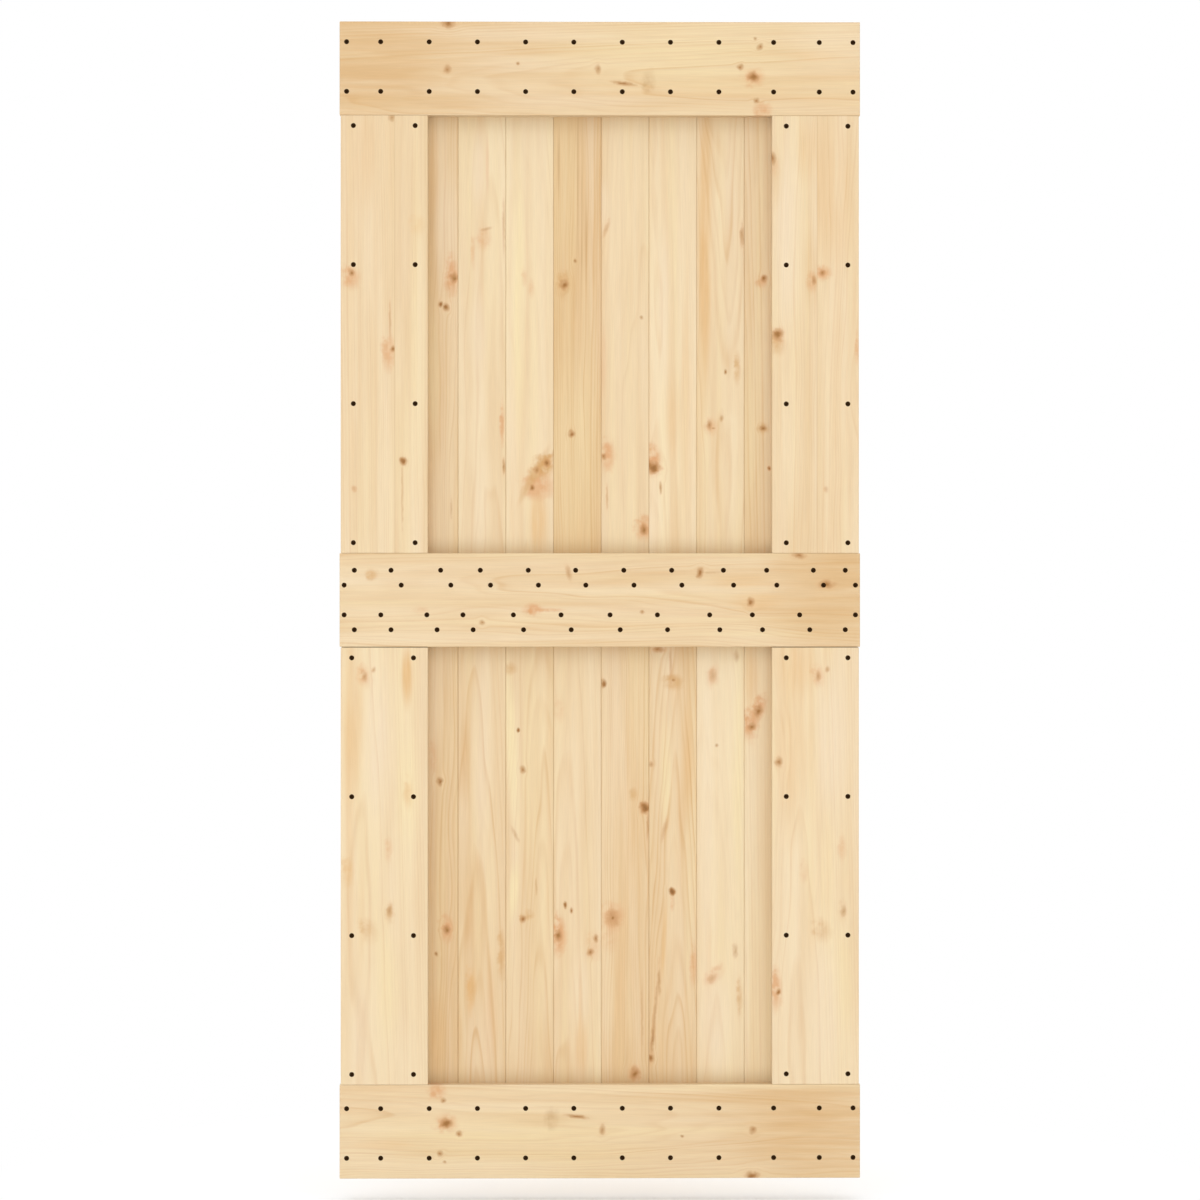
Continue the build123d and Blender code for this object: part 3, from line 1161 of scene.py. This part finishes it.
def make_screw_tree():
    """Geometry nodes that lay a countersunk head with a cross recess on each point, turned by chance."""
    tree = bpy.data.node_groups.new("countersunk_screws", "GeometryNodeTree")
    tree.interface.new_socket("Seats", in_out="INPUT", socket_type="NodeSocketGeometry")
    for name in ("Head radius", "Head depth", "Recess length", "Recess width", "Recess depth"):
        tree.interface.new_socket(name, in_out="INPUT", socket_type="NodeSocketFloat")
    tree.interface.new_socket("Seed", in_out="INPUT", socket_type="NodeSocketInt")
    tree.interface.new_socket("Coat", in_out="INPUT", socket_type="NodeSocketMaterial")
    tree.interface.new_socket("Screws", in_out="OUTPUT", socket_type="NodeSocketGeometry")
    given = add(tree, "NodeGroupInput", out=None).outputs

    radius, depth = given["Head radius"], given["Head depth"]
    shank = add(tree, "ShaderNodeMath", {0: radius, 1: SHANK_SHARE}, operation="MULTIPLY")
    cone = add(
        tree,
        "GeometryNodeMeshCone",
        {"Vertices": HEAD_SIDES, "Radius Top": radius, "Radius Bottom": shank, "Depth": depth},
        out="Mesh",
    )
    drop = add(tree, "ShaderNodeMath", {0: depth, 1: -1.0}, operation="MULTIPLY")
    down = add(tree, "ShaderNodeCombineXYZ", {"Z": drop})
    head = add(tree, "GeometryNodeTransform", {"Geometry": cone, "Translation": down})

    # the recess is cut by the lower halves of two crossing slots
    twice = add(tree, "ShaderNodeMath", {0: given["Recess depth"], 1: 2.0}, operation="MULTIPLY")
    size = add(
        tree, "ShaderNodeCombineXYZ", {"X": given["Recess length"], "Y": given["Recess width"], "Z": twice}
    )
    slot = add(tree, "GeometryNodeMeshCube", {"Size": size}, out="Mesh")
    crossing = add(tree, "GeometryNodeTransform", {"Geometry": slot, "Rotation": (0.0, 0.0, radians(90))})
    recessed = add(tree, "GeometryNodeMeshBoolean", {"Mesh 1": head}, operation="DIFFERENCE", out=None)
    tree.links.new(slot, recessed.inputs["Mesh 2"])
    tree.links.new(crossing, recessed.inputs["Mesh 2"])
    forward = add(
        tree,
        "GeometryNodeTransform",
        {"Geometry": recessed.outputs["Mesh"], "Rotation": (radians(90), 0.0, 0.0)},
    )

    angle = add(
        tree,
        "FunctionNodeRandomValue",
        {"Max": (0.0, radians(90), 0.0), "Seed": given["Seed"]},
        data_type="FLOAT_VECTOR",
    )
    laid = add(
        tree,
        "GeometryNodeInstanceOnPoints",
        {"Points": given["Seats"], "Instance": forward, "Rotation": angle},
    )
    real = add(tree, "GeometryNodeRealizeInstances", {"Geometry": laid})
    coated = add(tree, "GeometryNodeSetMaterial", {"Geometry": real, "Material": given["Coat"]})
    add(tree, "NodeGroupOutput", {"Screws": coated}, out=None)
    return tree


class LEAF_OT_drive_screws(bpy.types.Operator):
    """Lays a black countersunk screw into each seat of the frame."""

    bl_idname = "leaf.drive_screws"
    bl_label = "Drive the screws"

    def execute(self, context):
        sizes = context.scene.leaf_screws
        seats = screw_seats()
        if not seats:
            raise RuntimeError("the frame's solids have no screw seats")
        points = bpy.data.meshes.new("screw_seats")
        points.from_pydata([seat + Vector((0.0, sizes.sunk, 0.0)) for seat in seats], [], [])
        holder = bpy.data.objects.new("screw_seats", points)
        context.collection.objects.link(holder)
        tree = make_screw_tree()
        modifier = holder.modifiers.new("screws", "NODES")
        modifier.node_group = tree
        values = {
            "Head radius": sizes.head_radius,
            "Head depth": sizes.head_depth,
            "Recess length": sizes.recess_length,
            "Recess width": sizes.recess_width,
            "Recess depth": sizes.recess_depth,
            "Seed": TURN_SEED,
            "Coat": make_black_phosphate(sizes.colour),
        }
        for item in tree.interface.items_tree:
            if item.in_out == "INPUT" and item.name in values:
                modifier[item.identifier] = values[item.name]
        evaluated = holder.evaluated_get(context.evaluated_depsgraph_get())
        mesh = bpy.data.meshes.new_from_object(evaluated)
        mesh.name = "countersunk_screws"
        bpy.data.objects.remove(holder)
        screws = bpy.data.objects.new("countersunk_screws", mesh)
        context.collection.objects.link(screws)
        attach(screws, "root")
        return {"FINISHED"}


def seen_plainly(tree):
    """Is 1 for the camera and for what shows in metal and glass, and 0 for the light on the leaf."""
    light = add(tree, "ShaderNodeLightPath", out=None).outputs
    seen = light["Is Camera Ray"]
    for ray in ("Is Glossy Ray", "Is Transmission Ray"):
        seen = add(tree, "ShaderNodeMath", {0: seen, 1: light[ray]}, operation="MAXIMUM")
    return seen


def make_floor(bottom, studio):
    """A wide white floor under the leaf. It keeps the leaf's shadow, and further away it is plain white."""
    mesh = bpy.data.meshes.new("floor")
    grid = bmesh.new()
    corners = [
        grid.verts.new((right * FLOOR_HALF, back * FLOOR_HALF, bottom - studio.floor_gap))
        for right, back in ((-1, -1), (1, -1), (1, 1), (-1, 1))
    ]
    grid.faces.new(corners)
    grid.to_mesh(mesh)
    grid.free()
    floor = bpy.data.objects.new("floor", mesh)
    bpy.context.collection.objects.link(floor)
    material, tree = new_material("white_painted_floor")
    place = add(tree, "ShaderNodeTexCoord", out="Object")
    distance = add(
        tree, "ShaderNodeVectorMath", {0: place, 1: (0.0, 0.0, bottom)}, operation="DISTANCE", out="Value"
    )
    whole, gone = SHADOW_REACH
    far = add(tree, "ShaderNodeMapRange", {"Value": distance, "From Min": whole, "From Max": gone})
    white = add(tree, "ShaderNodeMath", {0: far, 1: seen_plainly(tree)}, operation="MULTIPLY")
    paint = add(tree, "ShaderNodeBsdfDiffuse", {"Color": (*studio.floor, 1.0)})
    glow = add(tree, "ShaderNodeEmission", {"Color": (1.0, 1.0, 1.0, 1.0), "Strength": 1.0})
    mixed = add(tree, "ShaderNodeMixShader", {0: white, 1: paint, 2: glow})
    add(tree, "ShaderNodeOutputMaterial", {"Surface": mixed}, out=None)
    mesh.materials.append(material)


def make_world(studio):
    """White surroundings, brighter to the sides. The camera and reflections see them as plain white."""
    world = bpy.data.worlds.new("white_studio")
    world.use_nodes = True
    bpy.context.scene.world = world
    tree = world.node_tree
    tree.nodes.clear()
    direction = add(tree, "ShaderNodeTexCoord", out="Generated")
    # straight ahead and behind is 1, and to the sides, above and below is 0
    ahead = add(tree, "ShaderNodeSeparateXYZ", {0: direction}, out="Y")
    frontal = add(tree, "ShaderNodeMath", {0: ahead}, operation="ABSOLUTE")
    sky = add(
        tree,
        "ShaderNodeMapRange",
        {
            "Value": frontal,
            "From Min": 0.4,
            "From Max": 0.75,
            "To Min": studio.sides * studio.sky,
            "To Max": studio.sky,
        },
        interpolation_type="SMOOTHSTEP",
    )
    level = add(tree, "ShaderNodeMix", {"Factor": seen_plainly(tree), 2: sky, 3: 1.0})
    background = add(tree, "ShaderNodeBackground", {"Color": (1.0, 1.0, 1.0, 1.0), "Strength": level})
    add(tree, "ShaderNodeOutputWorld", {"Surface": background}, out=None)


class LEAF_OT_set_studio(bpy.types.Operator):
    """Sets the floor, the soft light and the camera."""

    bl_idname = "leaf.set_studio"
    bl_label = "Set the studio"

    def execute(self, context):
        scene = context.scene
        studio = scene.leaf_studio
        scene.view_settings.view_transform = "Standard"
        make_floor(cad_box[0].z, studio)
        make_world(studio)

        lamp = bpy.data.lights.new("front_softbox", "AREA")
        lamp.shape = "RECTANGLE"
        lamp.size, lamp.size_y = SOFTBOX_SIZE
        lamp.energy = studio.key
        softbox = bpy.data.objects.new("front_softbox", lamp)
        softbox.location = LEAF_MIDDLE + SOFTBOX_PLACE
        softbox.rotation_euler = (-SOFTBOX_PLACE).to_track_quat("-Z", "Y").to_euler()
        context.collection.objects.link(softbox)

        camera = bpy.data.cameras.new("photo_camera")
        camera.lens = studio.lens
        camera.sensor_width = SENSOR_WIDTH
        distance = studio.frame_height * studio.lens / camera.sensor_width
        stand = bpy.data.objects.new("photo_camera", camera)
        front = Vector((LEAF_MIDDLE.x, 0.0, LEAF_MIDDLE.z))
        back = Vector((0.0, -1.0, 0.0))
        back.rotate(Euler((0.0, 0.0, -studio.turn)))
        stand.location = front + back * distance
        stand.rotation_euler = (-back).to_track_quat("-Z", "Y").to_euler()
        context.collection.objects.link(stand)
        scene.camera = stand
        return {"FINISHED"}


class LEAF_PT_panel(bpy.types.Panel):
    """Lists the leaf's settings and steps."""

    bl_idname = "LEAF_PT_panel"
    bl_label = "Door leaf"
    bl_space_type = "VIEW_3D"
    bl_region_type = "UI"
    bl_category = "Door Leaf"

    def draw(self, context):
        layout = self.layout
        for settings in (context.scene.leaf_pine, context.scene.leaf_screws, context.scene.leaf_studio):
            box = layout.box()
            for name in settings.__annotations__:
                box.prop(settings, name)
        for step in STEPS:
            layout.operator(step.bl_idname)


STEPS = (LEAF_OT_finish_boards, LEAF_OT_finish_frame, LEAF_OT_drive_screws, LEAF_OT_set_studio)
CLASSES = (PineFinish, ScrewSizes, Studio, *STEPS, LEAF_PT_panel)


def register():
    """Adds the leaf's settings, steps and panel."""
    for item in CLASSES:
        bpy.utils.register_class(item)
    bpy.types.Scene.leaf_pine = bpy.props.PointerProperty(type=PineFinish)
    bpy.types.Scene.leaf_screws = bpy.props.PointerProperty(type=ScrewSizes)
    bpy.types.Scene.leaf_studio = bpy.props.PointerProperty(type=Studio)


def unregister():
    """Takes the leaf's settings, steps and panel away again."""
    del bpy.types.Scene.leaf_pine
    del bpy.types.Scene.leaf_screws
    del bpy.types.Scene.leaf_studio
    for item in reversed(CLASSES):
        bpy.utils.unregister_class(item)


def main():
    """Runs every step."""
    register()
    bpy.ops.leaf.finish_boards()
    bpy.ops.leaf.finish_frame()
    bpy.ops.leaf.drive_screws()
    bpy.ops.leaf.set_studio()


if __name__ == "__main__":
    main()
